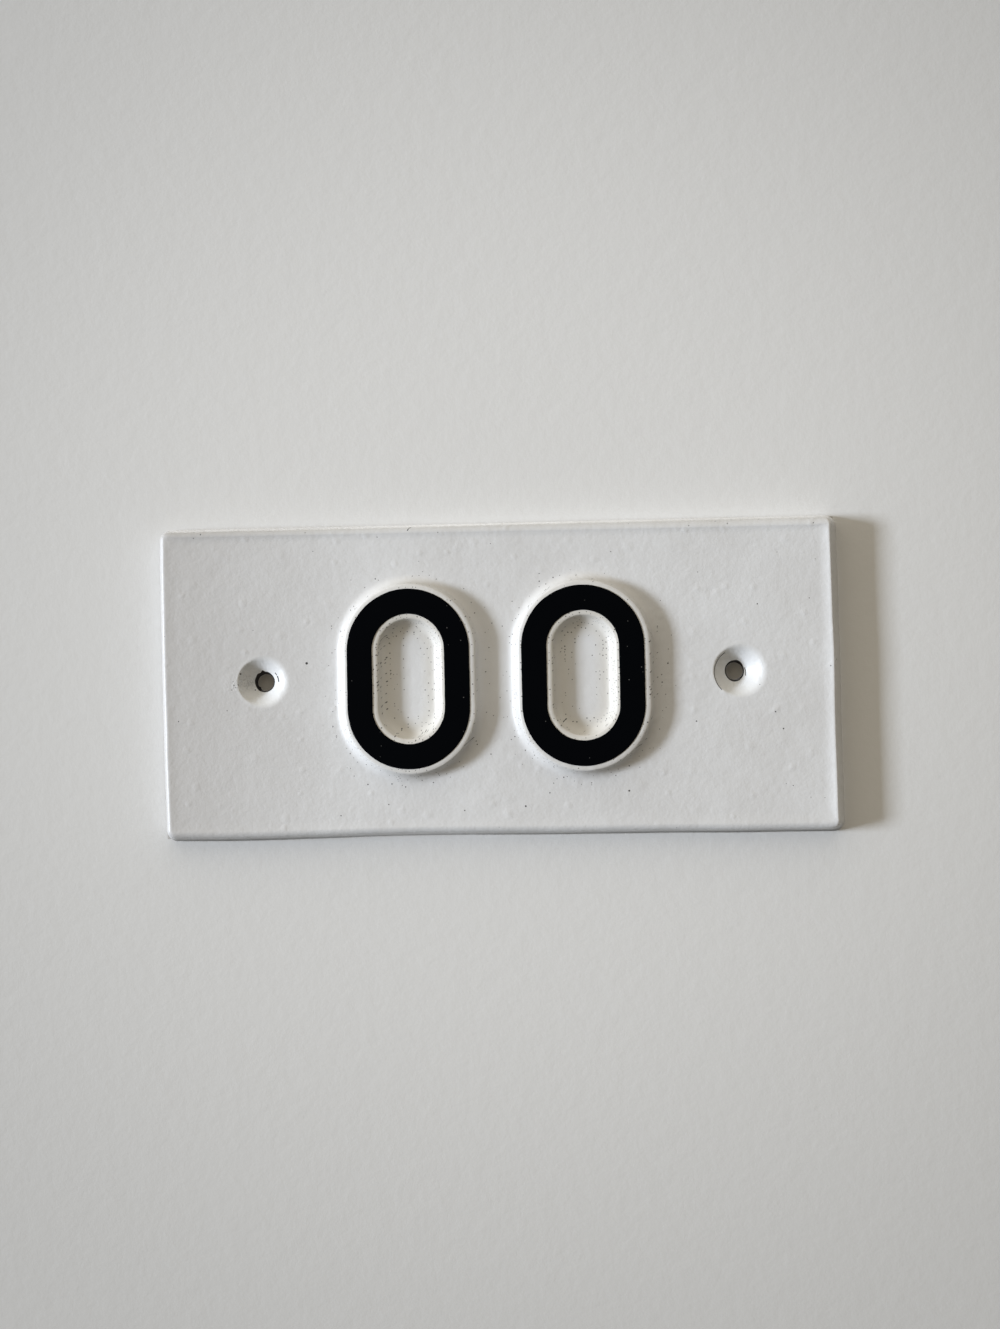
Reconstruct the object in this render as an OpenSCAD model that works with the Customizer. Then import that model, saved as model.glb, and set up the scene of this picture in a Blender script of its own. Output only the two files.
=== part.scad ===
// Cast-iron wall plaque, coated white, with two raised long rings whose faces are
// black, and a countersunk screw hole at each end.
// It hangs upright: +X to the right, +Z up, and the front faces -Y.
// The origin is the middle of its flat back face.

/* [Plate] */
// Length of the plate at its back, along X
plate_w = 150; // [130:1:190]
// Height of the plate at its back, along Z
plate_h = 70; // [62:1:100]
// Thickness at the rim, from the back to the front
plate_t = 5; // [4:0.25:7]
// Radius of the four corners at the back
corner_r = 2.6; // [2.5:0.1:6]
// How far each side wall leans in from the back to the front, so the casting leaves its mould
wall_draft = 1.1; // [0.8:0.05:1.2]
// Radius that rolls each side wall over into the front
edge_roll_r = 1.2; // [0.8:0.05:1.2]

/* [Rim] */
// How far the rim stands above the field inside it
rim_rise = 0.15; // [0.1:0.05:0.4]
// Distance from the back outline to the inner top edge of the rim
rim_w = 2.6; // [2.5:0.1:4]
// Width of the slope that runs down from the rim to the field
rim_slope_w = 2; // [1:0.1:3]

/* [Screw holes] */
// Distance between the two hole centres
hole_spacing = 104; // [96:0.5:108]
// Diameter of the hole for a 4 mm screw
hole_d = 4.5; // [3.5:0.1:5]
// Width of the left countersink at the field, before its lip is rounded
left_sink_d = 9.8; // [9:0.1:12]
// Width of the right countersink at the field, before its lip is rounded
right_sink_d = 10.6; // [9:0.1:12]
// How far the right countersink sits off its hole, towards the right end
right_sink_shift = 0.8; // [0:0.1:1.2]
// Depth of the countersinks' cones below the field
sink_depth = 3.1; // [2:0.1:3.2]
// Angle across the cone of a countersink
sink_angle = 88; // [80:1:100]
// Radius of the soft lip round a countersink
sink_lip_r = 1.6; // [0.8:0.1:2]

/* [Raised rings] */
// Height of a ring, along Z, at the top of its walls
ring_h = 40; // [34:0.2:46]
// Width of a ring, along X, at the top of its walls
ring_w = 27.4; // [23:0.2:30]
// Distance between the centres of the two rings
ring_spacing = 38; // [37:0.5:44]
// Width of the ring's stroke at the top of its walls
stroke_w = 6.2; // [5:0.1:7]
// How far the rings stand out from the field
relief = 3; // [2:0.1:4]
// How far the ring's wall leans out from its top down to the field
ring_draft = 1; // [0.5:0.05:1.2]
// Radius of the fillet between the ring's wall and the field
foot_r = 2; // [1:0.1:2.2]
// Size of the broken edge round the ring's face
face_edge = 0.25; // [0.1:0.05:0.4]

/* [Black faces] */
// Thickness of the black enamel on the rings' faces
enamel_t = 0.1; // [0.05:0.05:0.2]
// White margin left between the enamel and the broken edge
enamel_margin = 0.05; // [0.05:0.05:0.3]

/* [Hidden] */
$fn = 96;

// Overlap that joins one volume to the next
bite = 0.5;
// Angle at which a rounding crosses the faces that it joins, so that it has a clean edge there
kiss_angle = 7;
// Same, for the fillet at the foot of a ring, where it runs out on the field
runout_angle = 12;

field_t = plate_t - rim_rise;
wall_lean = atan(wall_draft / plate_t);
ring_lean = atan(ring_draft / relief);
sink_half_angle = sink_angle / 2;
enamel_w = stroke_w - 2 * (face_edge + enamel_margin);

// The middle line of a ring's stroke has two straight sides and two half-round ends
end_r = (ring_w - stroke_w) / 2;
side_length = ring_h - ring_w;

// Foot fillet of a ring, seen across the stroke: u runs outward from its middle, v up from the field
foot_drop = foot_r * cos(runout_angle);
foot_gap = foot_r * cos(kiss_angle);
ring_foot_u = stroke_w / 2 + ring_draft;
foot_u = ring_foot_u + (foot_gap - foot_drop * sin(ring_lean)) / cos(ring_lean);
foot_touch_u = foot_u - foot_gap * cos(ring_lean);
foot_touch_v = foot_drop - foot_gap * sin(ring_lean);

// What a rounding takes off the corner of a profile: the area past its arc, between the
// directions in which the corner's two faces look out
module corner_waste(centre, r, face_a, face_b) {
    reach = 2 * r;
    translate(centre)
        difference() {
            polygon([[0, 0], reach * face_a, reach * (face_a + face_b), reach * face_b]);
            circle(r = r);
        }
}

// Section of the plate's edge: x runs inward from the outline, y from the back to the front
module edge_section() {
    gap = edge_roll_r * cos(kiss_angle);
    roll_y = plate_t - gap;
    roll_x = roll_y * tan(wall_lean) + gap / cos(wall_lean);
    difference() {
        polygon([[0, 0], [corner_r, 0], [corner_r, plate_t], [wall_draft, plate_t]]);
        corner_waste([roll_x, roll_y], edge_roll_r, [0, 1], [-cos(wall_lean), sin(wall_lean)]);
    }
}

// One straight side of the plate, between two corners
module edge_side(length) {
    rotate([90, 0, 90])
        translate([0, 0, -length / 2])
            linear_extrude(length)
                edge_section();
}

// One corner of the plate, a quarter turn of the same section
module edge_corner() {
    rotate_extrude(angle = 90)
        translate([corner_r, 0])
            mirror([1, 0])
                edge_section();
}

module plate_blank() {
    side_x = plate_w - 2 * corner_r;
    side_y = plate_h - 2 * corner_r;
    translate([-side_x / 2, -side_y / 2, 0])
        cube([side_x, side_y, plate_t]);
    for (end = [0, 180])
        rotate([0, 0, end]) {
            translate([0, -plate_h / 2, 0])
                edge_side(side_x);
            translate([plate_w / 2, 0, 0])
                rotate([0, 0, 90])
                    edge_side(side_y);
            translate([side_x / 2, side_y / 2, 0])
                edge_corner();
            translate([side_x / 2, -side_y / 2, 0])
                rotate([0, 0, -90])
                    edge_corner();
        }
}

// Section of the shallow field across a span: a flat floor with a slope up to the rim at each side
module field_section(span) {
    top = span / 2 - rim_w;
    over = rim_slope_w * bite / rim_rise;
    polygon([
        [rim_slope_w - top, -rim_rise],
        [top - rim_slope_w, -rim_rise],
        [top + over, bite],
        [-top - over, bite],
    ]);
}

// The field inside the rim, as the shape that is taken out of the plate
module field_cut() {
    translate([0, 0, plate_t])
        intersection() {
            rotate([90, 0, 0])
                linear_extrude(plate_h, center = true)
                    field_section(plate_w);
            rotate([90, 0, 90])
                linear_extrude(plate_w, center = true)
                    field_section(plate_h);
        }
}

// One countersink, as the shape that is taken out of the plate
module sink_cut(width) {
    rim_r = width / 2;
    floor_r = rim_r - sink_depth * tan(sink_half_angle);
    over_r = rim_r + bite * tan(sink_half_angle);
    gap = sink_lip_r * cos(kiss_angle);
    lip_x = rim_r + gap * (1 / cos(sink_half_angle) - tan(sink_half_angle));
    cone_face = [-cos(sink_half_angle), sin(sink_half_angle)];
    translate([0, 0, field_t])
        rotate_extrude() {
            polygon([[0, -sink_depth], [floor_r, -sink_depth], [over_r, bite], [0, bite]]);
            corner_waste([lip_x, -gap], sink_lip_r, [0, 1], cone_face);
        }
}

module hole_cut() {
    translate([0, 0, -bite])
        cylinder(d = hole_d, h = plate_t + 2 * bite);
}

// Section across a ring's stroke, centred on x = 0, with y = 0 at the field
module stroke_section() {
    face_u = stroke_w / 2;
    difference() {
        polygon([
            [-foot_u, -bite],
            [foot_u, -bite],
            [foot_u, foot_touch_v],
            [foot_touch_u, foot_touch_v],
            [face_u + face_edge * tan(ring_lean), relief - face_edge],
            [face_u - face_edge, relief],
            [face_edge - face_u, relief],
            [-face_u - face_edge * tan(ring_lean), relief - face_edge],
            [-foot_touch_u, foot_touch_v],
            [-foot_u, foot_touch_v],
        ]);
        for (side = [-1, 1])
            translate([side * foot_u, foot_drop])
                circle(r = foot_r);
    }
}

// Section of the enamel on a ring's face
module enamel_section() {
    translate([-enamel_w / 2, relief])
        square([enamel_w, enamel_t]);
}

// Sweeps a section once round a ring: along each side, then round each end
module sweep_ring() {
    for (turn = [0, 180])
        rotate([0, 0, turn]) {
            translate([end_r, side_length / 2, 0])
                rotate([90, 0, 0])
                    linear_extrude(side_length)
                        children();
            translate([0, side_length / 2, 0])
                rotate_extrude(angle = 180)
                    translate([end_r, 0])
                        children();
        }
}

module rings() {
    for (side = [-1, 1])
        translate([side * ring_spacing / 2, 0, field_t])
            sweep_ring()
                children();
}

// The whole casting with its coats, as it lies on its back
module casting() {
    color("whitesmoke")
        difference() {
            union() {
                difference() {
                    plate_blank();
                    field_cut();
                }
                rings()
                    stroke_section();
            }
            translate([-hole_spacing / 2, 0, 0]) {
                hole_cut();
                sink_cut(left_sink_d);
            }
            translate([hole_spacing / 2, 0, 0]) {
                hole_cut();
                translate([right_sink_shift, 0, 0])
                    sink_cut(right_sink_d);
            }
        }
    color("black")
        rings()
            enamel_section();
}

module plaque() {
    rotate([90, 0, 0])
        casting();
}

plaque();
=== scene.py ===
"""A cast-iron wall plaque: a white-coated plate with two raised rings whose faces are black.

All sizes are in millimetres on the plan of the front: u runs to the right, v up, and h out
from the flat back towards the viewer. In the frame, a plan point stands at (u, -h, v).
"""

import logging
import math
from dataclasses import dataclass, fields
from enum import Enum
from typing import Callable, Sequence, Union

import bmesh
import bpy
import numpy as np
from mathutils import Matrix, Vector, noise
from mathutils.geometry import delaunay_2d_cdt


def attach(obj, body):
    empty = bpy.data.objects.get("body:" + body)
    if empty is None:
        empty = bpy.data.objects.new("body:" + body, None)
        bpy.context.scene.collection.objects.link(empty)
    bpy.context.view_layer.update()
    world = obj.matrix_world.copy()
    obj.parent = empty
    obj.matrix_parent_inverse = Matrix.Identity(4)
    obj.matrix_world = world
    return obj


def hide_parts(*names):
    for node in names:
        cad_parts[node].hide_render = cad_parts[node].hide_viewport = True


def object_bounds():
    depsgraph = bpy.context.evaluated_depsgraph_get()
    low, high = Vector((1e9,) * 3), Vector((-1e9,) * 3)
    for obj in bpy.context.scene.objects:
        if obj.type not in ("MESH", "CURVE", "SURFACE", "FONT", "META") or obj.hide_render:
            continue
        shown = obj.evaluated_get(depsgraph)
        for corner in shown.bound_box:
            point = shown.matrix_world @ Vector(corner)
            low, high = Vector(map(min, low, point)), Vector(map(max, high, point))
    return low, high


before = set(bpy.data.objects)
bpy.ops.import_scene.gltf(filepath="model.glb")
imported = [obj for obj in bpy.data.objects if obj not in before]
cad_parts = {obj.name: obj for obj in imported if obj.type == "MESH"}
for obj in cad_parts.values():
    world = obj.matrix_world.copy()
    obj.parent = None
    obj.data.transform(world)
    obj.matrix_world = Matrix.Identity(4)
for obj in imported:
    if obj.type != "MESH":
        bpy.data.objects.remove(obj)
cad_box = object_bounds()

Tree = bpy.types.NodeTree
Node = bpy.types.Node
# What may go in a node's input: another node, one of its outputs, or a constant
Feed = Union[Node, bpy.types.NodeSocket, float, tuple]
Pair = tuple[float, float]

MM = 0.001
NODE = "plaque"
BODY = "root"
LOG = logging.getLogger("plaque")


class Slot(Enum):
    """The record's material slots."""

    WHITE = "white_coat"
    BLACK = "black_enamel"


class Side(Enum):
    """The two ends of the plaque, as the sign of their place along u."""

    LEFT = -1
    RIGHT = 1


def ease(low: float, high: float, value: np.ndarray) -> np.ndarray:
    """Rises smoothly from 0 to 1.

    Args:
        low: Where the rise starts.
        high: Where it ends.
        value: The values to look up.

    Returns:
        The eased values.
    """
    t = np.clip((value - low) / (high - low), 0.0, 1.0)
    return t * t * (3.0 - 2.0 * t)


def arc(centre: Pair, radius: float, start: float, end: float, count: int) -> list[Pair]:
    """Points on an arc of a section.

    Args:
        centre: The arc's centre.
        radius: Its radius.
        start: First angle, in degrees.
        end: Last angle, in degrees.
        count: How many points, both ends included.

    Returns:
        The points in order.
    """
    angles = np.radians(np.linspace(start, end, count))
    return [(centre[0] + radius * math.cos(a), centre[1] + radius * math.sin(a)) for a in angles]


def between(knots: Sequence[Pair], places: np.ndarray) -> np.ndarray:
    """Looks up a smooth curve that passes through a few points.

    Args:
        knots: The points, as place and value.
        places: Where to look it up.

    Returns:
        The curve's values.
    """
    at, value = np.array(knots).T
    k = np.clip(np.searchsorted(at, places) - 1, 0, len(at) - 2)
    share = ease(0.0, 1.0, (places - at[k]) / (at[k + 1] - at[k]))
    return value[k] + (value[k + 1] - value[k]) * share


@dataclass(frozen=True)
class Grain:
    """A smooth, random unevenness that sand, iron and thick paint leave in a surface."""

    pitch: float
    depth: float
    shift: float

    def at(self, points: np.ndarray) -> np.ndarray:
        """How far the surface sinks at each point, from 0 to the grain's full depth."""
        places = points / self.pitch + self.shift
        return self.depth * np.array([0.5 + 0.5 * noise.noise(Vector(p)) for p in places])


@dataclass(frozen=True)
class Mark:
    """A small round pimple or dent in the coat."""

    u: float
    v: float
    radius: float
    rise: float

    def at(self, points: np.ndarray) -> np.ndarray:
        """The mark's height at each plan point."""
        reach = np.hypot(points[:, 0] - self.u, points[:, 1] - self.v)
        return self.rise * np.exp(-((reach / self.radius) ** 2))


class Skin:
    """The points and faces of one closed surface."""

    # How far filled-in points stray, and how clear they keep of the rims, in spacings
    STRAY = 0.18
    CLEARANCE = 0.55
    # Points nearer to each other than this count as one
    WELD = 1e-7
    # Height of a triangle with equal sides, in sides
    LINE_STEP = math.sqrt(0.75)

    def __init__(self) -> None:
        """Starts an empty skin."""
        self.points = np.zeros((0, 3))
        self.bare = np.zeros(0)
        self.faces: list[tuple[int, ...]] = []

    def row(self, plan: np.ndarray, height: np.ndarray | float, bare: float = 0.0) -> np.ndarray:
        """Adds a row of points.

        Args:
            plan: The points' u and v.
            height: Their height, one for all or one each.
            bare: How far the coat is missing there, from 0 to 1.

        Returns:
            The new points' numbers.
        """
        heights = np.broadcast_to(np.asarray(height, float), (len(plan),))
        first = len(self.points)
        self.points = np.concatenate([self.points, np.column_stack([plan, heights])])
        self.bare = np.concatenate([self.bare, np.full(len(plan), bare)])
        return np.arange(first, len(self.points))

    def join(self, rows: Sequence[np.ndarray]) -> None:
        """Joins closed rows, each to the next, with four-sided faces.

        Args:
            rows: The numbers of each row's points, all rows being equally long.
        """
        for near, far in zip(rows, rows[1:]):
            near_next, far_next = np.roll(near, -1), np.roll(far, -1)
            self.faces += [tuple(map(int, q)) for q in zip(near, near_next, far_next, far)]

    def fill(
        self,
        rims: Sequence[np.ndarray],
        inside: Callable[[np.ndarray, float], np.ndarray],
        spacing: float,
        height: float,
        seed: int,
    ) -> None:
        """Fills the area between closed rows with even triangles.

        Args:
            rims: The rows that bound the area.
            inside: Says which plan points lie in the area, by at least a margin.
            spacing: Distance between new points.
            height: Their height.
            seed: Seeds their small random shifts.
        """
        rim_points = np.concatenate(list(rims))
        plan = self.points[rim_points, :2]
        low, high = plan.min(0), plan.max(0)
        columns = np.arange(low[0], high[0], spacing)
        lines = np.arange(low[1], high[1], spacing * self.LINE_STEP)
        grid = np.array(
            [(u + spacing / 2 * (n % 2), v) for n, v in enumerate(lines) for u in columns]
        )
        shifts = np.random.default_rng(seed).uniform(-self.STRAY, self.STRAY, grid.shape)
        grid += shifts * spacing
        grid = grid[inside(grid, self.CLEARANCE * spacing)]
        numbers = np.concatenate([rim_points, self.row(grid, height)])
        edges, first = [], 0
        for rim in rims:
            edges += [(first + k, first + (k + 1) % len(rim)) for k in range(len(rim))]
            first += len(rim)
        spots = [Vector(p) for p in self.points[numbers, :2]]
        made = delaunay_2d_cdt(spots, edges, [], 0, self.WELD, True)
        source = [ids[0] for ids in made[3]]
        triangles = np.array([[numbers[source[k]] for k in face] for face in made[2]])
        centroids = self.points[triangles][:, :, :2].mean(1)
        self.faces += [tuple(map(int, t)) for t in triangles[inside(centroids, 0.0)]]

    def piece(
        self, name: str, relief: Callable[[np.ndarray, np.ndarray], np.ndarray]
    ) -> bpy.types.Object:
        """Makes the skin into an object, in metres, in the frame and inside the CAD part's box.

        Args:
            name: The piece's name.
            relief: Gives each point's shift along its normal, from the points and normals.

        Returns:
            The new object.
        """
        mesh = bpy.data.meshes.new(name)
        mesh.from_pydata(self.points.tolist(), [], self.faces)
        shell = bmesh.new()
        shell.from_mesh(mesh)
        bmesh.ops.recalc_face_normals(shell, faces=shell.faces)
        shell.to_mesh(mesh)
        shell.free()
        normals = np.array([v.normal for v in mesh.vertices])
        points = self.points + normals * relief(self.points, normals)[:, None]
        frame_points = np.column_stack([points[:, 0], -points[:, 2], points[:, 1]]) * MM
        frame_points = np.clip(frame_points, np.array(cad_box[0]), np.array(cad_box[1]))
        mesh.vertices.foreach_set("co", frame_points.ravel())
        mesh.polygons.foreach_set("use_smooth", [True] * len(mesh.polygons))
        mesh.update()
        made = bpy.data.objects.new(name, mesh)
        bpy.context.scene.collection.objects.link(made)
        return made


def note_points(piece: bpy.types.Object, name: str, values: np.ndarray) -> None:
    """Stores a value at each point of a piece, for its material to read."""
    layer = piece.data.attributes.new(name, "FLOAT", "POINT")
    layer.data.foreach_set("value", np.asarray(values, float))


@dataclass(frozen=True)
class Edge:
    """One side of the plate as it came out of the mould.

    Its wall leans in by the draft, and the roll turns it over into a rim. The rim rises over the
    field and slopes down to it from the start inset, over the width.
    """

    draft: float
    roll: float
    rise: float
    start: float
    width: float

    # The rounded edge round the back: inset and height of its rows, in foot radii
    FOOT_ROWS = ((1.2, 0.0), (0.6, 0.08), (0.25, 0.45))
    WALL_ROWS = 5
    ROLL_ROWS = 10

    def section(self, thickness: float, foot: float) -> list[tuple[np.ndarray, np.ndarray]]:
        """The edge's rows from the back up to the rim's crest.

        It is asked of an edge whose fields hold a value for each point of the outline.

        Args:
            thickness: The plate's thickness.
            foot: Radius of the edge round the back.

        Returns:
            Inset and height of each row.
        """
        lean, slope = np.arctan2(self.draft, thickness), self.draft / thickness
        wall_h = thickness - self.roll * (1 - np.sin(lean))
        crest = slope * wall_h + self.roll * np.cos(lean)
        rows = [(foot * reach + 0 * lean, foot * up + 0 * lean) for reach, up in self.FOOT_ROWS]
        for share in np.linspace(0, 1, self.WALL_ROWS + 1)[:-1]:
            height = foot + (wall_h - foot) * share
            rows.append((slope * height, height))
        top = thickness - self.roll
        for share in np.linspace(0, 1, self.ROLL_ROWS):
            turn = (math.pi - lean) + (lean - math.pi / 2) * share
            rows.append((crest + self.roll * np.cos(turn), top + self.roll * np.sin(turn)))
        return rows


@dataclass(frozen=True)
class Plate:
    """The plate: a drafted wall, a rolled edge and a low rim round a flat field."""

    width: float = 150.0
    height: float = 70.0
    thickness: float = 5.0
    corner_radius: float = 2.6
    foot_radius: float = 0.45
    rim_rise: float = 0.15
    crest_inset: float = 2.0
    field_inset: float = 5.2
    left: Edge = Edge(draft=1.1, roll=1.1, rise=0.1, start=2.1, width=3.0)
    right: Edge = Edge(draft=1.85, roll=0.4, rise=0.34, start=2.3, width=2.5)
    top_left: Edge = Edge(draft=1.1, roll=1.3, rise=0.24, start=2.3, width=1.8)
    top_right: Edge = Edge(draft=1.1, roll=1.9, rise=0.22, start=2.8, width=1.8)
    bottom: Edge = Edge(draft=1.1, roll=1.35, rise=0.1, start=2.3, width=2.6)
    # How far the poured sides stay inside the box, along each side
    left_in: tuple[Pair, ...] = ((-35, 0.9), (-12, 0.45), (8, 0.17), (28, 0.05), (35, 0.05))
    right_in: tuple[Pair, ...] = (
        (-35, 0.0), (-28, 0.0), (-12, 0.12), (4, 0.0), (12, 0.12), (35, 0.3),
    )
    top_in: tuple[Pair, ...] = ((-75, 0.4), (-20, 0.56), (75, 0.66))
    bottom_in: tuple[Pair, ...] = (
        (-75, 0.36), (-58, 0.2), (-18, 0.7), (18, 0.36), (34, 0.32), (54, 0.06), (75, 0.0),
    )
    # The sides are drawn in fully this near the outline, and not at all this far from it
    drawn_near: float = 2.0
    drawn_far: float = 8.0
    # Half the length over which one side's edge passes into the next
    corner_blend: float = 6.0
    top_blend: float = 70.0
    # A row's corners tighten to this radius from the outline in, and grow again from an inset
    tightest_corner: float = 0.3
    corner_growth: float = 0.6
    growth_from: float = 0.9
    # What a side's edge rises beyond the rim's own rise comes in from this height up
    lift_from: float = 3.0
    slope_rows: int = 9
    corner_points: int = 9
    long_points: int = 300
    short_points: int = 140

    @property
    def field_height(self) -> float:
        """Height of the field inside the rim."""
        return self.thickness - self.rim_rise

    def drawn_in(self, plan: np.ndarray) -> np.ndarray:
        """How far the poured plate's sides pull plan points in from the straight outline.

        Args:
            plan: The plan points.

        Returns:
            Each point's move along u and v.
        """
        u, v = plan.T
        moves = []
        for half, across, along, low, high in (
            (self.width / 2, u, v, self.left_in, self.right_in),
            (self.height / 2, v, u, self.bottom_in, self.top_in),
        ):
            near, far = half - self.drawn_near, half - self.drawn_far
            move = ease(far, near, -across) * between(low, along)
            move -= ease(far, near, across) * between(high, along)
            moves.append(move)
        return np.column_stack(moves)

    def edge_at(self, plan: np.ndarray) -> Edge:
        """The plate's edge at points of the outline, one side passing into the next at a corner.

        Args:
            plan: The outline's plan points.

        Returns:
            An edge whose fields hold a value for each point.
        """
        u, v = plan.T
        to_end, to_side = self.width / 2 - np.abs(u), self.height / 2 - np.abs(v)
        end = ease(-self.corner_blend, self.corner_blend, to_side - to_end)
        rightward = ease(-self.top_blend, self.top_blend, u)
        sides = (self.left, self.right, self.top_left, self.top_right, self.bottom)
        found = {}
        for part in fields(Edge):
            left, right, top_left, top_right, bottom = (getattr(s, part.name) for s in sides)
            top = top_left + (top_right - top_left) * rightward
            long_side = np.where(v > 0, top, bottom)
            found[part.name] = end * np.where(u > 0, right, left) + (1 - end) * long_side
        return Edge(**found)

    def corner_at(self, inset: float) -> float:
        """Radius of the corners of a row that lies some way in from the outline."""
        grown = self.corner_growth * (inset - self.growth_from)
        return max(self.corner_radius - inset, grown, self.tightest_corner)

    def outline(self, inset: float) -> np.ndarray:
        """One closed row round the plate.

        Args:
            inset: Distance in from the plate's outline.

        Returns:
            The row's plan points, counterclockwise from the lower right corner.
        """
        radius = self.corner_at(inset)
        u, v = self.width / 2 - inset - radius, self.height / 2 - inset - radius
        arcs = [
            np.array(arc(centre, radius, start, start + 90, self.corner_points))
            for centre, start in (((u, -v), -90), ((u, v), 0), ((-u, v), 90), ((-u, -v), 180))
        ]
        counts = (self.short_points, self.long_points) * 2
        parts = []
        for bend, following, count in zip(arcs, arcs[1:] + arcs[:1], counts):
            steps = np.linspace(0, 1, count + 2)[1:-1, None]
            parts += [bend, bend[-1] + (following[0] - bend[-1]) * steps]
        return np.concatenate(parts)

    def placed(self, inset: np.ndarray, drawn: np.ndarray) -> np.ndarray:
        """A row whose inset differs from point to point.

        Args:
            inset: The inset of each point.
            drawn: How far the plate's sides are drawn in there.

        Returns:
            The row's plan points.
        """
        marks = (0.0, self.crest_inset, self.field_inset)
        outer, crest, inner = (self.outline(mark) for mark in marks)
        near = np.clip(inset / marks[1], 0, 1)[:, None]
        far = np.clip((inset - marks[1]) / (marks[2] - marks[1]), 0, 1)[:, None]
        return outer + (crest - outer) * near + (inner - crest) * far + drawn * (1 - far)

    def add(self, skin: Skin) -> tuple[np.ndarray, np.ndarray]:
        """Adds the edge and the rim.

        Args:
            skin: The skin that they are in.

        Returns:
            The row on the back and the row on the field.
        """
        base = self.outline(0.0)
        drawn = self.drawn_in(base)
        edge = self.edge_at(base)
        rows = []
        for inset, height in edge.section(self.thickness, self.foot_radius):
            lift = (edge.rise - self.rim_rise) * ease(self.lift_from, self.thickness, height)
            rows.append(skin.row(self.placed(inset, drawn), height + lift))
        for fall in np.linspace(0, 1, self.slope_rows):
            plan = self.placed(edge.start + edge.width * fall, drawn)
            rows.append(skin.row(plan, self.field_height + edge.rise * (1 - fall) ** 2))
        rows.append(skin.row(self.outline(self.field_inset), self.field_height))
        skin.join(rows)
        return rows[0], rows[-1]

    def inside(self, plan: np.ndarray, inset: float, margin: float) -> np.ndarray:
        """Which plan points lie within one of the plate's rows.

        Args:
            plan: The plan points.
            inset: The row's distance in from the outline.
            margin: How far within it they must be.

        Returns:
            True or false for each point.
        """
        if inset < self.crest_inset:
            plan = plan - self.drawn_in(plan)
        radius = self.corner_at(inset)
        half = np.array([self.width, self.height]) / 2 - inset - radius
        beyond = np.abs(plan) - half
        reach = np.hypot(*np.maximum(beyond, 0).T) + np.minimum(beyond.max(1), 0) - radius
        return reach < -margin


@dataclass(frozen=True)
class Flaw:
    """A chip out of a hole's wall, or a burr on it."""

    angle: float
    spread: float
    depth: float
    level: float = 1.0
    tall: float = 0.22

    def at(self, angles: np.ndarray, level: float) -> np.ndarray:
        """How far the wall moves outward.

        Args:
            angles: Where round the hole, in degrees.
            level: How far up the wall, from 0 at the back to 1 at the mouth, and more on the cone.

        Returns:
            The wall's shift, one for each angle.
        """
        turn = (angles - self.angle + 180) % 360 - 180
        return self.depth * np.exp(
            -((turn / self.spread) ** 2) - ((level - self.level) / self.tall) ** 2
        )


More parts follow.
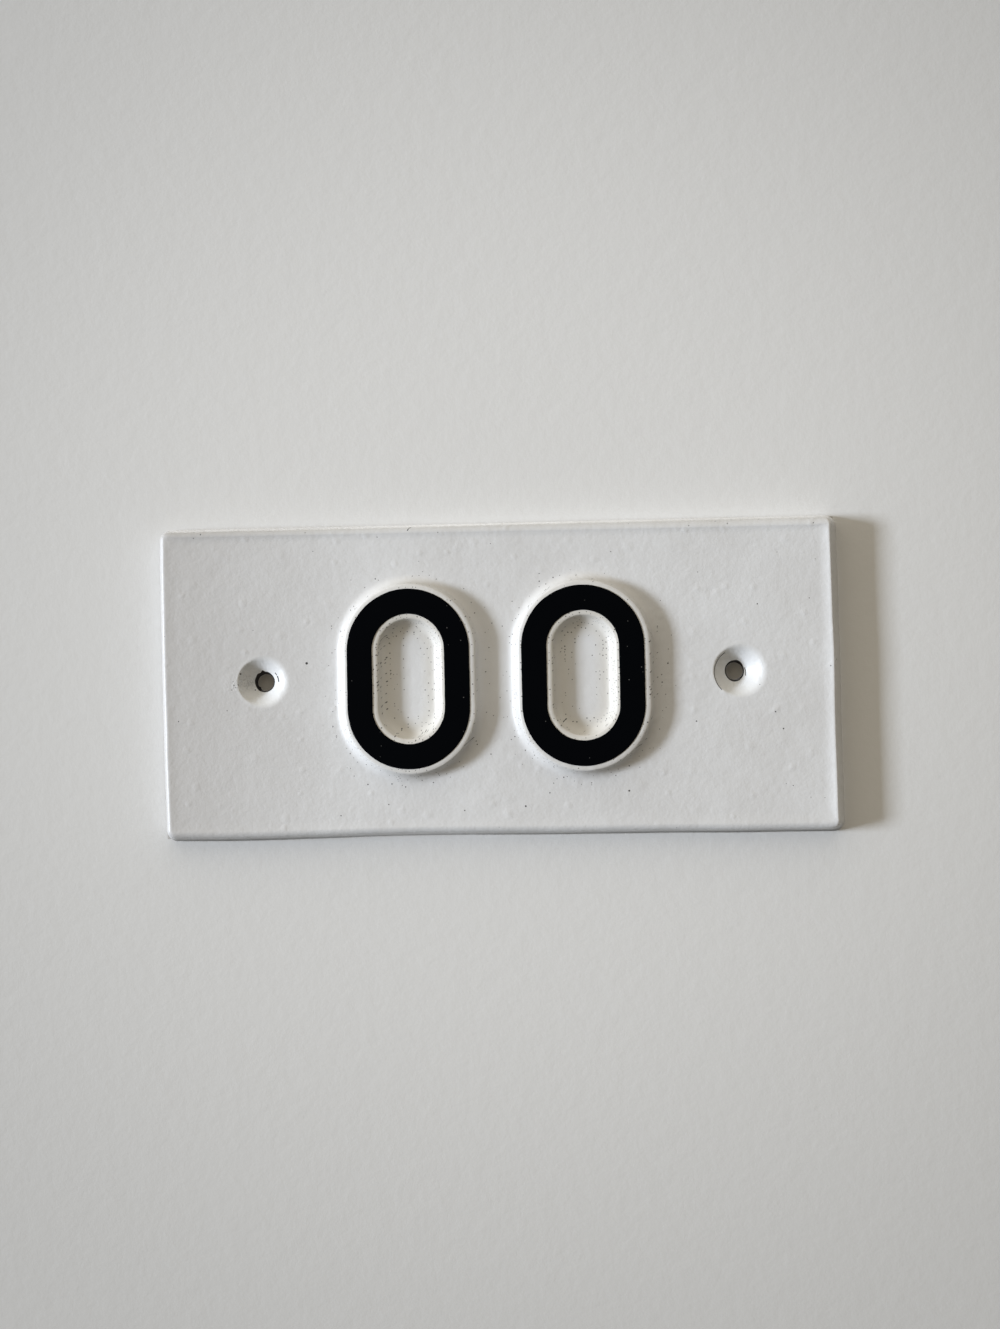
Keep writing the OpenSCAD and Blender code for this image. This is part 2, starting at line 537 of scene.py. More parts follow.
@dataclass(frozen=True)
class ScrewHole:
    """A screw hole in its countersink."""

    side: Side
    rim_radius: float
    # How far the countersink and the coated hole sit off the drilled axis
    shift: Pair
    slip: Pair
    flaws: tuple[Flaw, ...]
    spacing: float = 104.0
    # The hole as the coat leaves it, a little narrower than it was drilled
    bore_radius: float = 1.95
    taper: float = 0.17
    depth: float = 3.1
    half_angle: float = 48.0
    # The lip is softest on the right; on the left it is tight, with a small step under it
    lip_radius: float = 3.2
    left_lip: float = 0.6
    left_step: float = 0.25
    step_width: float = 0.35
    points: int = 144
    # The rounded edge at the back, as reach and height of its rows
    back_rows: tuple[Pair, ...] = ((0.16, 0.0), (0.05, 0.06))
    # The wall's rows run from a height up to a share of the way to the mouth
    wall_start: float = 0.2
    wall_rows: int = 12
    wall_end: float = 0.94
    # Rows from the mouth to the end of the lip; the coat is gone up to the bare share, a band of
    # bare iron that also paints the shade round the mouth
    shares: tuple[float, ...] = (
        0.02, 0.05, 0.06, 0.1, 0.15, 0.22, 0.3, 0.4, 0.5,
        0.58, 0.65, 0.71, 0.77, 0.83, 0.88, 0.93, 0.97, 1.0,
    )
    bare_and_shade_share: float = 0.055

    @property
    def bore_centre(self) -> np.ndarray:
        """Plan point of the coated hole's axis."""
        return np.array([self.side.value * self.spacing / 2, 0.0]) + np.array(self.slip)

    @property
    def centre(self) -> np.ndarray:
        """Plan point of the countersink's axis."""
        return np.array([self.side.value * self.spacing / 2, 0.0]) + np.array(self.shift)

    @property
    def back_radius(self) -> float:
        """Radius of the bore at the back."""
        return self.bore_radius - self.taper

    @property
    def lip_reach(self) -> float:
        """Where the soft lip ends on the field, from the countersink's axis."""
        half = math.radians(self.half_angle)
        return self.touch(self.lip_radius) + self.lip_radius * math.cos(half)

    def touch(self, lip_radius: np.ndarray | float) -> np.ndarray | float:
        """Where a lip of some radius meets the cone, from the countersink's axis."""
        half = math.radians(self.half_angle)
        return self.rim_radius - lip_radius * (1 - math.sin(half)) * math.tan(half)

    def height(self, plan: np.ndarray, field_height: float) -> np.ndarray:
        """Height of the countersink's surface.

        Args:
            plan: Plan points in the countersink.
            field_height: Height of the field round it.

        Returns:
            A height for each point.
        """
        half = math.radians(self.half_angle)
        offset = plan - self.centre
        reach = np.hypot(*offset.T)
        leftness = -offset[:, 0] / np.maximum(reach, 0.1)
        tight = ease(-1.0, 0.9, leftness)
        lip_radius = self.lip_radius + (self.left_lip - self.lip_radius) * tight
        touch = self.touch(lip_radius)
        down = (self.rim_radius - reach) / math.tan(half)
        step = self.left_step * ease(0.1, 1.0, leftness) * ease(0, self.step_width, touch - reach)
        step = step * ease(0, self.depth, self.depth - down)
        cone = field_height - np.minimum(down + step, self.depth)
        inward = np.clip(touch + lip_radius * math.cos(half) - reach, 0, lip_radius)
        lip = field_height - lip_radius + np.sqrt(lip_radius**2 - inward**2)
        return np.where(reach > touch, lip, cone)

    def circle(self, share: float, level: float = 1.0) -> np.ndarray:
        """A row of the hole.

        Args:
            share: How far out it lies, from 0 on the bore to 1 at the end of the lip.
            level: How far up the bore it lies, from 0 at the back to 1 at the mouth.

        Returns:
            The row's plan points.
        """
        outward = float(ease(0, 0.5, np.array(share)))
        centre = self.bore_centre + (self.centre - self.bore_centre) * outward
        angles = np.linspace(0, 360, self.points, endpoint=False)
        radius = self.bore_radius + (self.lip_reach - self.bore_radius) * share
        radius = radius - self.taper * (1 - max(level, 0))
        past = level + 2 * share
        radius = radius + sum((flaw.at(angles, past) for flaw in self.flaws), 0 * angles)
        turns = np.radians(angles)
        return centre + np.column_stack([radius * np.cos(turns), radius * np.sin(turns)])

    def add(self, skin: Skin, field_height: float) -> tuple[np.ndarray, np.ndarray]:
        """Adds the hole and its countersink.

        Args:
            skin: The skin that they are in.
            field_height: Height of the field round them.

        Returns:
            The row on the back and the row on the field.
        """
        bore = self.circle(0.0, -1.0)
        outward = (bore - self.bore_centre) / self.back_radius
        rows = [skin.row(bore + outward * reach, up, bare=1) for reach, up in self.back_rows]
        crown = self.height(self.circle(0.0), field_height)
        for level in np.linspace(0, self.wall_end, self.wall_rows):
            height = self.wall_start + (crown - self.wall_start) * level
            rows.append(skin.row(self.circle(0.0, level), height, bare=1))
        rows.append(skin.row(self.circle(0.0), crown, bare=1))
        for share in self.shares:
            circle = self.circle(share)
            bare = float(share < self.bare_and_shade_share)
            rows.append(skin.row(circle, self.height(circle, field_height), bare))
        skin.join(rows)
        return rows[0], rows[-1]


@dataclass(frozen=True)
class Ring:
    """A raised ring: two straight sides and two half-round ends."""

    side: Side
    spacing: float = 38.0
    end_radius: float = 10.6
    half_side: float = 6.3
    flat_half: float = 2.75
    relief: float = 2.8
    wall_lean: float = 18.0
    shoulder_tilt: float = 16.0
    shoulder_radius: float = 3.0
    corner_radius: float = 0.5
    foot_radius: float = 2.0
    side_points: int = 26
    end_points: int = 92

    @property
    def foot_reach(self) -> float:
        """Where the foot's fillet meets the field, from the stroke's middle line."""
        return self.half_section()[0][0]

    def row_at(self, offset: np.ndarray | float) -> np.ndarray:
        """A closed row beside the stroke's middle line.

        Args:
            offset: Distance outward from the middle line, one for all points or one each.

        Returns:
            The row's plan points.
        """
        ends = np.linspace(0, 180, self.end_points)
        sides = np.linspace(-1, 1, self.side_points + 2)[1:-1]
        angles = np.radians(np.concatenate([0 * sides, ends, 0 * sides + 180, ends + 180]))
        rise = self.half_side * np.concatenate([sides, 0 * ends + 1, -sides, 0 * ends - 1])
        reach = self.end_radius + offset
        centre = self.side.value * self.spacing / 2
        return np.column_stack([centre + reach * np.cos(angles), rise + reach * np.sin(angles)])

    def away(self, plan: np.ndarray) -> np.ndarray:
        """Signed distance of plan points from the stroke's middle line.

        Args:
            plan: The plan points.

        Returns:
            A distance for each, positive outside the line and negative within it.
        """
        u = plan[:, 0] - self.side.value * self.spacing / 2
        v = plan[:, 1]
        past = v - np.clip(v, -self.half_side, self.half_side)
        return np.hypot(u, past) - self.end_radius

    def half_section(self) -> list[Pair]:
        """Offset and height above the field, from the foot up to the middle of the face."""
        top = (self.flat_half, self.relief - self.shoulder_radius)
        shoulder = arc(top, self.shoulder_radius, 90, 90 - self.shoulder_tilt, 5)
        turn = math.radians(self.shoulder_tilt)
        u, h = shoulder[-1]
        bend = (u - self.corner_radius * math.sin(turn), h - self.corner_radius * math.cos(turn))
        corner = arc(bend, self.corner_radius, 90 - self.shoulder_tilt, self.wall_lean, 5)
        wall_u, wall_h = corner[-1]
        lean = math.radians(self.wall_lean)
        touch_h = self.foot_radius * (1 - math.sin(lean))
        touch_u = wall_u + (wall_h - touch_h) * math.tan(lean)
        foot = (touch_u + self.foot_radius * math.cos(lean), self.foot_radius)
        fillet = arc(foot, self.foot_radius, 180 + self.wall_lean, 270, 8)
        middle = ((wall_u + touch_u) / 2, (wall_h + touch_h) / 2)
        down = [(self.flat_half / 2, self.relief)] + shoulder + corner[1:] + [middle] + fillet
        return down[::-1]

    def add(self, skin: Skin, field_height: float) -> list[np.ndarray]:
        """Adds the ring.

        Args:
            skin: The skin that it is in.
            field_height: Height of the field that it stands on.

        Returns:
            The rows where its outer and its inner foot meet the field.
        """
        half = self.half_section()
        section = half + [(-u, h) for u, h in reversed(half)]
        rows = [skin.row(self.row_at(u), field_height + h) for u, h in section]
        skin.join(rows)
        return [rows[0], rows[-1]]


@dataclass
class Casting:
    """The iron casting under its white coat, with everything that is one piece with it."""

    plate: Plate = Plate()
    rings: tuple[Ring, ...] = (Ring(Side.LEFT), Ring(Side.RIGHT))
    holes: tuple[ScrewHole, ...] = (
        ScrewHole(
            Side.LEFT, rim_radius=5.1, shift=(0.12, 0.15), slip=(0.58, 0.2),
            flaws=(
                Flaw(101, 9, 0.5), Flaw(133, 14, 0.25), Flaw(165, 22, 0.12), Flaw(72, 14, 0.12),
                Flaw(222, 18, -0.42, level=0.6, tall=0.16), Flaw(228, 14, 0.08),
            ),
        ),
        ScrewHole(
            Side.RIGHT, rim_radius=5.25, shift=(0.25, 0.4), slip=(-0.4, 0.48),
            flaws=(
                Flaw(2, 34, -0.16), Flaw(72, 20, 0.16), Flaw(268, 28, 0.16), Flaw(185, 40, -0.14),
            ),
        ),
    )
    field_spacing: float = 0.5
    back_spacing: float = 1.0
    # Orange peel of the coat, runs where it gathered, and the sand mould's own unevenness
    front_grains: tuple[Grain, ...] = (
        Grain(pitch=1.7, depth=0.012, shift=11.3),
        Grain(pitch=5.0, depth=0.04, shift=3.7),
        Grain(pitch=17.0, depth=0.11, shift=27.1),
    )
    back_grains: tuple[Grain, ...] = (
        Grain(pitch=3.1, depth=0.06, shift=5.9),
        Grain(pitch=12.0, depth=0.1, shift=8.2),
    )
    marks: tuple[Mark, ...] = (
        Mark(48.2, 17.6, 0.8, 0.06), Mark(46.8, 17.8, 0.9, -0.06), Mark(61.3, 26.3, 0.6, -0.05),
        Mark(60.8, 25.6, 0.5, 0.05), Mark(-57.5, 21.0, 0.9, 0.05), Mark(-61.0, 15.5, 0.6, 0.04),
        Mark(-47.0, 27.5, 0.6, 0.05), Mark(-36.4, -24.8, 0.6, 0.05), Mark(-60.2, -18.5, 0.7, 0.04),
        Mark(-59.0, 27.5, 0.5, 0.06), Mark(34.0, 28.0, 0.6, -0.04), Mark(41.0, -21.0, 0.8, 0.04),
        Mark(66.0, -8.0, 0.7, 0.035), Mark(2.0, -26.5, 0.7, 0.04), Mark(59.7, -8.6, 0.5, 0.08),
        Mark(42.4, -0.8, 0.5, 0.07),
    )
    # How thickly grit lies in the open field, beside a ring and along the top edge
    grit_open: float = 0.006
    grit_beside: float = 0.6
    grit_edge: float = 0.25
    # How much painted shade darkens the top edge, on its roll and on its wall
    top_roll_shade: float = 0.17
    wall_grime: float = 0.36

    def in_field(self, plan: np.ndarray, margin: float) -> np.ndarray:
        """Which plan points lie on the flat field.

        Args:
            plan: The plan points.
            margin: How far from its bounds they must be.

        Returns:
            True or false for each point.
        """
        free = self.plate.inside(plan, self.plate.field_inset, margin)
        for ring in self.rings:
            free &= np.abs(ring.away(plan)) > ring.foot_reach + margin
        for hole in self.holes:
            free &= np.hypot(*(plan - hole.centre).T) > hole.lip_reach + margin
        return free

    def on_back(self, plan: np.ndarray, margin: float) -> np.ndarray:
        """Which plan points lie on the flat back.

        Args:
            plan: The plan points.
            margin: How far from its bounds they must be.

        Returns:
            True or false for each point.
        """
        free = self.plate.inside(plan, self.plate.foot_radius * Edge.FOOT_ROWS[0][0], margin)
        for hole in self.holes:
            clear = hole.back_radius + hole.back_rows[0][0] + margin
            free &= np.hypot(*(plan - hole.bore_centre).T) > clear
        return free

    def grit(self, points: np.ndarray) -> np.ndarray:
        """How thickly grit lies in the coat: most of it in the corners at the rings' feet.

        Args:
            points: Plan points with their heights.

        Returns:
            A value from 0 to 1 for each point.
        """
        found = np.full(len(points), self.grit_open)
        for ring in self.rings:
            away = ring.away(points)
            inner = ease(-ring.end_radius, -ring.foot_reach + 1.5, away) * (away < 0)
            beside = np.exp(-((np.maximum(away - 3.0, 0) / 3.5) ** 2)) * (away > 0)
            found = np.maximum(found, np.maximum(inner, beside * self.grit_beside))
        half = self.plate.height / 2
        return np.maximum(found, self.grit_edge * ease(half - 3.5, half - 1.0, points[:, 1]))

    def dished(self, points: np.ndarray) -> np.ndarray:
        """Which points lie in a countersink.

        Args:
            points: Plan points with their heights.

        Returns:
            A value from 0 to 1 for each point.
        """
        found = np.zeros(len(points))
        for hole in self.holes:
            reach = np.hypot(*(points[:, :2] - hole.centre).T)
            found = np.maximum(found, ease(hole.lip_reach, hole.rim_radius - 0.4, reach))
        return found * (points[:, 2] > 1.0)

    def painted_shade(self, points: np.ndarray) -> np.ndarray:
        """Where painted shade darkens the coat: along the foot of the lower wall, and a little on
        the top edge.

        Args:
            points: Plan points with their heights.

        Returns:
            A value from 0 to 1 for each point.
        """
        u, v, h = points.T
        half = self.plate.height / 2
        # Painted shade at the foot of the lower wall, where it meets the backdrop
        foot = ease(-half + 1.6, -half + 0.2, v) * ease(4.0, 1.2, h) * ease(0.0, 0.2, h)
        # Painted shade on the top edge's roll and wall, most to the left
        top = ease(half - 3.8, half - 1.2, v)
        roll = self.top_roll_shade * ease(2.5, 4.2, h)
        wall = self.wall_grime * ease(4.6, 3.2, h) * ease(5.0, -45.0, u)
        return np.maximum(foot, top * (roll + wall))

    def relief(self, points: np.ndarray, normals: np.ndarray) -> np.ndarray:
        """Shift of each point along its normal, from the grains and marks.

        Args:
            points: Plan points with their heights.
            normals: Their normals.

        Returns:
            The shifts; a negative one sinks the surface.
        """
        front = ease(0.2, 1.0, points[:, 2])
        sunk = sum(grain.at(points) for grain in self.front_grains)
        sunk_back = sum(grain.at(points) for grain in self.back_grains)
        raised = sum(mark.at(points) for mark in self.marks) * (normals[:, 2] > 0.9)
        return front * (raised - sunk) - (1 - front) * sunk_back

    def build(self) -> bpy.types.Object:
        """Makes the casting as one closed mesh."""
        skin = Skin()
        height = self.plate.field_height
        back_row, field_row = self.plate.add(skin)
        back_rims, field_rims = [back_row], [field_row]
        for ring in self.rings:
            field_rims += ring.add(skin, height)
        for hole in self.holes:
            back_row, field_row = hole.add(skin, height)
            back_rims.append(back_row)
            field_rims.append(field_row)
        skin.fill(field_rims, self.in_field, self.field_spacing, height, seed=4)
        skin.fill(back_rims, self.on_back, self.back_spacing, 0.0, seed=9)
        piece = skin.piece("cast_plate", self.relief)
        note_points(piece, "bare_iron", skin.bare)
        note_points(piece, "grit", self.grit(skin.points))
        note_points(piece, "painted_shade", self.painted_shade(skin.points))
        note_points(piece, "dished", self.dished(skin.points))
        return piece


@dataclass
class BlackFace:
    """The black enamel on a ring's face, brushed up to its edge by hand."""

    ring: Ring
    field_height: float
    half_width: float = 2.77
    # The hand's slip to the left
    slip: float = 0.28
    film: float = 0.1
    sunk: float = 0.07
    # Half the film's section: share of the way out to its edge, and share of its thickness
    section: tuple[Pair, ...] = (
        (1.0, 0.3), (0.985, 0.7), (0.95, 0.93), (0.85, 1.0), (0.4, 1.0), (0.0, 1.0),
    )
    # How far past the half width the edge reaches where nothing makes it uneven
    edge_room: float = 0.05
    unevenness: tuple[Grain, ...] = (
        Grain(pitch=1.1, depth=0.07, shift=41.0),
        Grain(pitch=5.0, depth=0.09, shift=17.0),
    )

    def edge(self, outward: int) -> np.ndarray:
        """Offset of the film's uneven edge on one side of the stroke.

        Args:
            outward: 1 for the outer edge and -1 for the inner one.

        Returns:
            An offset for each point of a row.
        """
        base = self.ring.row_at(outward * self.half_width)
        places = np.column_stack([base, np.full(len(base), 3.0 * outward)])
        wander = sum(grain.at(places) for grain in self.unevenness)
        return outward * (self.half_width + self.edge_room - wander)

    def build(self) -> bpy.types.Object:
        """Makes the film as one closed shell."""
        skin = Skin()
        face = self.field_height + self.ring.relief
        section = [(1.0, -self.sunk)] + [(share, self.film * up) for share, up in self.section]
        slip = np.array([-self.slip, 0.0])
        rows = []
        for edge, half in ((self.edge(1), section), (self.edge(-1), section[-2::-1])):
            for share, lift in half:
                rows.append(skin.row(self.ring.row_at(edge * share) + slip, face + lift))
        skin.join(rows + [rows[0]])
        name = f"black_face_{self.ring.side.name.lower()}"
        return skin.piece(name, lambda points, normals: np.zeros(len(points)))


def linear(code: str) -> tuple[float, float, float, float]:
    """Turns an sRGB hex colour to linear light.

    Args:
        code: A colour such as "#D0D0CE".

    Returns:
        Linear red, green and blue, and an alpha of 1.
    """
    parts = [int(code[k : k + 2], 16) / 255 for k in (1, 3, 5)]
    red, green, blue = (c / 12.92 if c <= 0.04045 else ((c + 0.055) / 1.055) ** 2.4 for c in parts)
    return red, green, blue, 1.0


def feed(tree: Tree, node: Node, inputs: dict[str | int, Feed]) -> None:
    """Fills a node's inputs.

    Args:
        tree: The node tree that it is in.
        node: The node.
        inputs: What each input gets. A node stands for its first output in use.
    """
    for name, value in inputs.items():
        if isinstance(value, Node):
            value = next(out for out in value.outputs if out.enabled)
        if isinstance(value, bpy.types.NodeSocket):
            tree.links.new(value, node.inputs[name])
        else:
            node.inputs[name].default_value = value


def add_node(
    tree: Tree, kind: str, inputs: dict[str | int, Feed] | None = None, **settings: object
) -> Node:
    """Adds a node.

    Args:
        tree: The node tree that it goes in.
        kind: The node's type, without "ShaderNode".
        inputs: What its inputs hold, as for feed.
        settings: The node's own settings.

    Returns:
        The new node.
    """
    node = tree.nodes.new("ShaderNode" + kind)
    for name, value in settings.items():
        setattr(node, name, value)
    feed(tree, node, inputs or {})
    return node


def new_material(name: str) -> tuple[bpy.types.Material, Tree, Node]:
    """Makes a material.

    Args:
        name: Its name.

    Returns:
        The material, its node tree and its shader.
    """
    material = bpy.data.materials.new(name)
    material.use_nodes = True
    return material, material.node_tree, material.node_tree.nodes["Principled BSDF"]


def plan_of(tree: Tree) -> Node:
    """Gives the shaded point's plan coordinates.

    Args:
        tree: The material's node tree.

    Returns:
        Its u, v and h, in millimetres.
    """
    place = add_node(tree, "TexCoord").outputs["Object"]
    turn = {"Rotation": (-math.pi / 2, 0.0, 0.0), "Scale": (1 / MM, 1 / MM, 1 / MM)}
    return add_node(tree, "Mapping", {"Vector": place, **turn})


def on_front(tree: Tree, plan: Node, mask: Feed) -> Node:
    """Keeps a mask of the plan to the front, and clears it on the flat back.

    Args:
        tree: The material's node tree.
        plan: Plan coordinates in millimetres.
        mask: The mask.

    Returns:
        The mask where the surface is more than 1 mm above the back, and 0 elsewhere.
    """
    height = add_node(tree, "SeparateXYZ", {0: plan}).outputs[2]
    raised = add_node(tree, "Math", {0: height, 1: 1.0}, operation="GREATER_THAN")
    return add_node(tree, "Math", {0: raised, 1: mask}, operation="MULTIPLY")


def offset_from(tree: Tree, plan: Node, u: float, v: float) -> tuple[Node, Node]:
    """Measures on the plan from one place to the shaded point.

    Args:
        tree: The material's node tree.
        plan: Plan coordinates in millimetres.
        u: The place along u.
        v: The place along v.

    Returns:
        The offset, without its height, and its length.
    """
    offset = add_node(tree, "VectorMath", {0: plan, 1: (u, v, 0.0)}, operation="SUBTRACT")
    flat = add_node(tree, "VectorMath", {0: offset, 1: (1.0, 1.0, 0.0)}, operation="MULTIPLY")
    return flat, add_node(tree, "VectorMath", {0: flat}, operation="LENGTH")


@dataclass(frozen=True)
class Specks:
    """Small round things strewn over a surface: grit in the coat, pinholes or pimples."""

    pitch: float
    radius: float
    share: float
    blur: float = 0.35

    def build(self, tree: Tree, plan: Node, thick: Feed = 1.0) -> Node:
        """Makes their mask.

        Args:
            tree: The material's node tree.
            plan: Plan coordinates in millimetres.
            thick: How thickly they lie, from 0 to 1.

        Returns:
            A value of 1 on a speck and 0 off it.
        """
        # With the height added along u and v, specks are as long on the walls as on the front
        height = add_node(tree, "SeparateXYZ", {0: plan}).outputs[2]
        skew = add_node(tree, "CombineXYZ", {0: height, 1: height})
        spread = add_node(tree, "VectorMath", {0: plan, 1: skew}, operation="ADD")
        cells = add_node(
            tree, "TexVoronoi", {"Vector": spread, "Scale": 1 / self.pitch}, voronoi_dimensions="2D"
        )
        chance = add_node(tree, "SeparateColor", {0: cells.outputs["Color"]}).outputs
        limit = add_node(tree, "Math", {0: thick, 1: self.share}, operation="MULTIPLY")
        there = add_node(tree, "Math", {0: chance[0], 1: limit}, operation="LESS_THAN")
        # A cell's second chance makes its speck up to half smaller
        whole = self.pitch / self.radius
        sizes = {"To Min": 0.5 / self.radius * self.pitch, "To Max": whole}
        size = add_node(tree, "MapRange", {"Value": chance[1], **sizes})
        reach = add_node(tree, "Math", {0: cells, 1: size}, operation="MULTIPLY")
        rim = {"From Min": 1 - self.blur, "From Max": 1 + self.blur, "To Min": 1.0, "To Max": 0.0}
        disc = add_node(tree, "MapRange", {"Value": reach, **rim}, interpolation_type="SMOOTHSTEP")
        return add_node(tree, "Math", {0: disc, 1: there}, operation="MULTIPLY")


@dataclass(frozen=True)
class Blot:
    """One dark speck or stain at a known place."""

    u: float
    v: float
    radius: float
    blur: float = 0.06

    def build(self, tree: Tree, plan: Node) -> Node:
        """Makes its mask.

        Args:
            tree: The material's node tree.
            plan: Plan coordinates in millimetres.

        Returns:
            A value of 1 on it and 0 off it.
        """
        reach = offset_from(tree, plan, self.u, self.v)[1]
        low, high = self.radius - self.blur, self.radius + self.blur
        rim = {"From Min": low, "From Max": high, "To Min": 1.0, "To Max": 0.0}
        return add_node(tree, "MapRange", {"Value": reach, **rim}, interpolation_type="SMOOTHSTEP")


@dataclass(frozen=True)
class CrackAndShadeArc:
    """A fine dark line that runs part of the way round a screw hole: most are crack lines in the
    coat, and two at the right countersink's tight left rim are painted shade.
    """

    u: float
    radius: float
    start: float
    end: float
    width: float = 0.16

    def build(self, tree: Tree, plan: Node) -> Node:
        """Makes its mask.

        Args:
            tree: The material's node tree.
            plan: Plan coordinates in millimetres.

        Returns:
            A value of 1 on it and 0 off it.
        """
        flat, reach = offset_from(tree, plan, self.u, 0.0)
        on_line = {0: reach, 1: self.radius, 2: self.width / 2}
        line = add_node(tree, "Math", on_line, operation="COMPARE")
        axes = add_node(tree, "SeparateXYZ", {0: flat}).outputs
        turn = add_node(tree, "Math", {0: axes[1], 1: axes[0]}, operation="ARCTAN2")
        middle = math.radians(self.start + self.end) / 2
        half = math.radians(self.end - self.start) / 2
        part = add_node(tree, "Math", {0: turn, 1: middle, 2: half}, operation="COMPARE")
        return add_node(tree, "Math", {0: line, 1: part}, operation="MULTIPLY")


@dataclass(frozen=True)
class Coat:
    """White enamel on cast iron: satin, a little dirty, and missing in the screw holes.

    It was sprayed on thick over a rough casting, so it shows orange peel, pimples over sand grains
    and dark grit, and light breaks softly on it.
    """

    name: str = "white_enamel_sprayed_on_iron"
    clean: str = "#D8D9DA"
    greyed: str = "#CFCFCF"
    cloud_pitch: float = 22.0
    # Painted shade darkens the left end most, from this far out to this far in
    left_shade: str = "#C0BFBE"
    left_shade_from: float = -75.0
    left_shade_to: float = -27.0
    # Paler in the countersinks
    countersink_tone: str = "#D7D8D8"
    # A warmer tone beside and inside the rings, up to this share
    ring_tint: str = "#CFCABE"
    ring_tint_share: float = 0.55
    # Colour of grit, and also of the painted lines of shade at the right countersink's rim
    grit: str = "#1A1816"
    # Bare iron, nearly black: it also paints the shade deep in the holes and round their mouths
    iron: str = "#080706"
    rust: str = "#2A1D17"
    rust_pitch: float = 0.8
    # Colour of the painted shade at the foot of the lower wall and on the top edge
    painted_shade: str = "#605D58"
    # The iron's grey through the thin coat on the back, in patches
    thin: str = "#9A9894"
    patch_pitch: float = 15.0
    roughness: float = 0.42
    iron_roughness: float = 0.8
    # Pitch of the bumps and their height, both in millimetres
    peel: tuple[Pair, ...] = ((0.6, 0.03), (1.3, 0.05), (3.2, 0.095))
    pimples: Specks = Specks(pitch=6.5, radius=0.45, share=0.5, blur=0.9)
    pimple_height: float = 0.045
    fine_grit: Specks = Specks(pitch=0.75, radius=0.07, share=0.4)
    coarse_grit: Specks = Specks(pitch=11.0, radius=0.1, share=0.05)
    blots: tuple[Blot, ...] = (
        Blot(-41.8, 4.0, 0.27), Blot(37.1, 2.3, 0.16), Blot(28.1, -25.2, 0.2),
        Blot(43.0, -10.4, 0.15), Blot(-56.5, 2.0, 0.17), Blot(-57.0, -0.4, 0.13),
        Blot(-57.9, -0.5, 0.12), Blot(-53.6, -1.5, 0.14), Blot(-7.7, -28.8, 0.13),
        Blot(5.6, -28.1, 0.19), Blot(10.9, -25.3, 0.13), Blot(-58.1, 0.3, 0.09),
        Blot(-57.5, -1.0, 0.1), Blot(-58.4, -1.5, 0.09), Blot(60.1, -8.7, 0.14),
    )
    # Fine crack lines round both holes; the two arcs of radius 5.15 at the right hole's left rim
    # are painted shade
    cracks_and_shade_arcs: tuple[CrackAndShadeArc, ...] = (
        CrackAndShadeArc(-51.4, 3.2, 2, 26, width=0.28), CrackAndShadeArc(-51.4, 3.2, 29, 42, width=0.18),
        CrackAndShadeArc(51.45, 2.6, -14, 26), CrackAndShadeArc(52.25, 5.15, 122, 180, width=0.14),
        CrackAndShadeArc(52.25, 5.15, -180, -134, width=0.14),
    )
    # Rusty stain in the left countersink, and lumpy coat beside it
    stain: Blot = Blot(-55.2, 0.1, 1.4, blur=1.3)
    stain_pitch: float = 0.45
    stain_depth: float = 0.42
    lumps: Blot = Blot(-57.6, -0.3, 2.0, blur=1.4)
    sand_pitch: float = 0.5
    lump_height: float = 0.12

    def tone(self, tree: Tree, plan: Node) -> Node:
        """Colour of the coat where it is whole.

        It is cloudy, darker to the left in painted shade, warmer by the rings, paler in the
        countersinks, and darker in painted shade at the lower wall's foot and on the top edge.

        Args:
            tree: The material's node tree.
            plan: Plan coordinates in millimetres.

        Returns:
            The colour.
        """
        clouds = {"Scale": 1 / self.cloud_pitch, "Detail": 4.0, "Roughness": 0.6}
        cloud = add_node(tree, "TexNoise", {"Vector": plan, **clouds})
        cloudy = add_node(tree, "MapRange", {"Value": cloud, "From Min": 0.35, "From Max": 0.7})
        axes = add_node(tree, "SeparateXYZ", {0: plan}).outputs
        # Painted shade: the coat darkens towards the left end
        ends = {"From Min": self.left_shade_from, "From Max": self.left_shade_to, "To Min": 1.0, "To Max": 0.0}
        left = add_node(
            tree, "MapRange", {"Value": axes[0], **ends}, interpolation_type="SMOOTHSTEP"
        )
        gritty, dished, shade_share = (
            add_node(tree, "Attribute", attribute_name=name).outputs["Fac"]
            for name in ("grit", "dished", "painted_shade")
        )
        ring_tinted = add_node(
            tree, "MapRange", {"Value": gritty, "From Min": 0.25, "To Max": self.ring_tint_share}
        )
        patches = {"Scale": 1 / self.patch_pitch, "Detail": 9.0, "Roughness": 0.72}
        patch = add_node(tree, "TexNoise", {"Vector": plan, **patches})
        shares = {"From Min": 0.38, "From Max": 0.7, "To Min": 0.15, "To Max": 0.65}
        patchy = add_node(tree, "MapRange", {"Value": patch, **shares})
        low = {"From Min": 0.1, "From Max": 0.5, "To Min": 1.0, "To Max": 0.0}
        behind = add_node(tree, "MapRange", {"Value": axes[2], **low})
        thin = add_node(tree, "Math", {0: patchy, 1: behind}, operation="MULTIPLY")
        tone = linear(self.clean)
        layers = (
            (cloudy, self.greyed), (left, self.left_shade), (ring_tinted, self.ring_tint), (dished, self.countersink_tone),
            # Painted shade at the lower wall's foot and on the top edge
            (shade_share, self.painted_shade), (thin, self.thin),
        )
        for share, code in layers:
            layer = {0: share, "A": tone, "B": linear(code)}
            tone = add_node(tree, "Mix", layer, data_type="RGBA")
        return tone

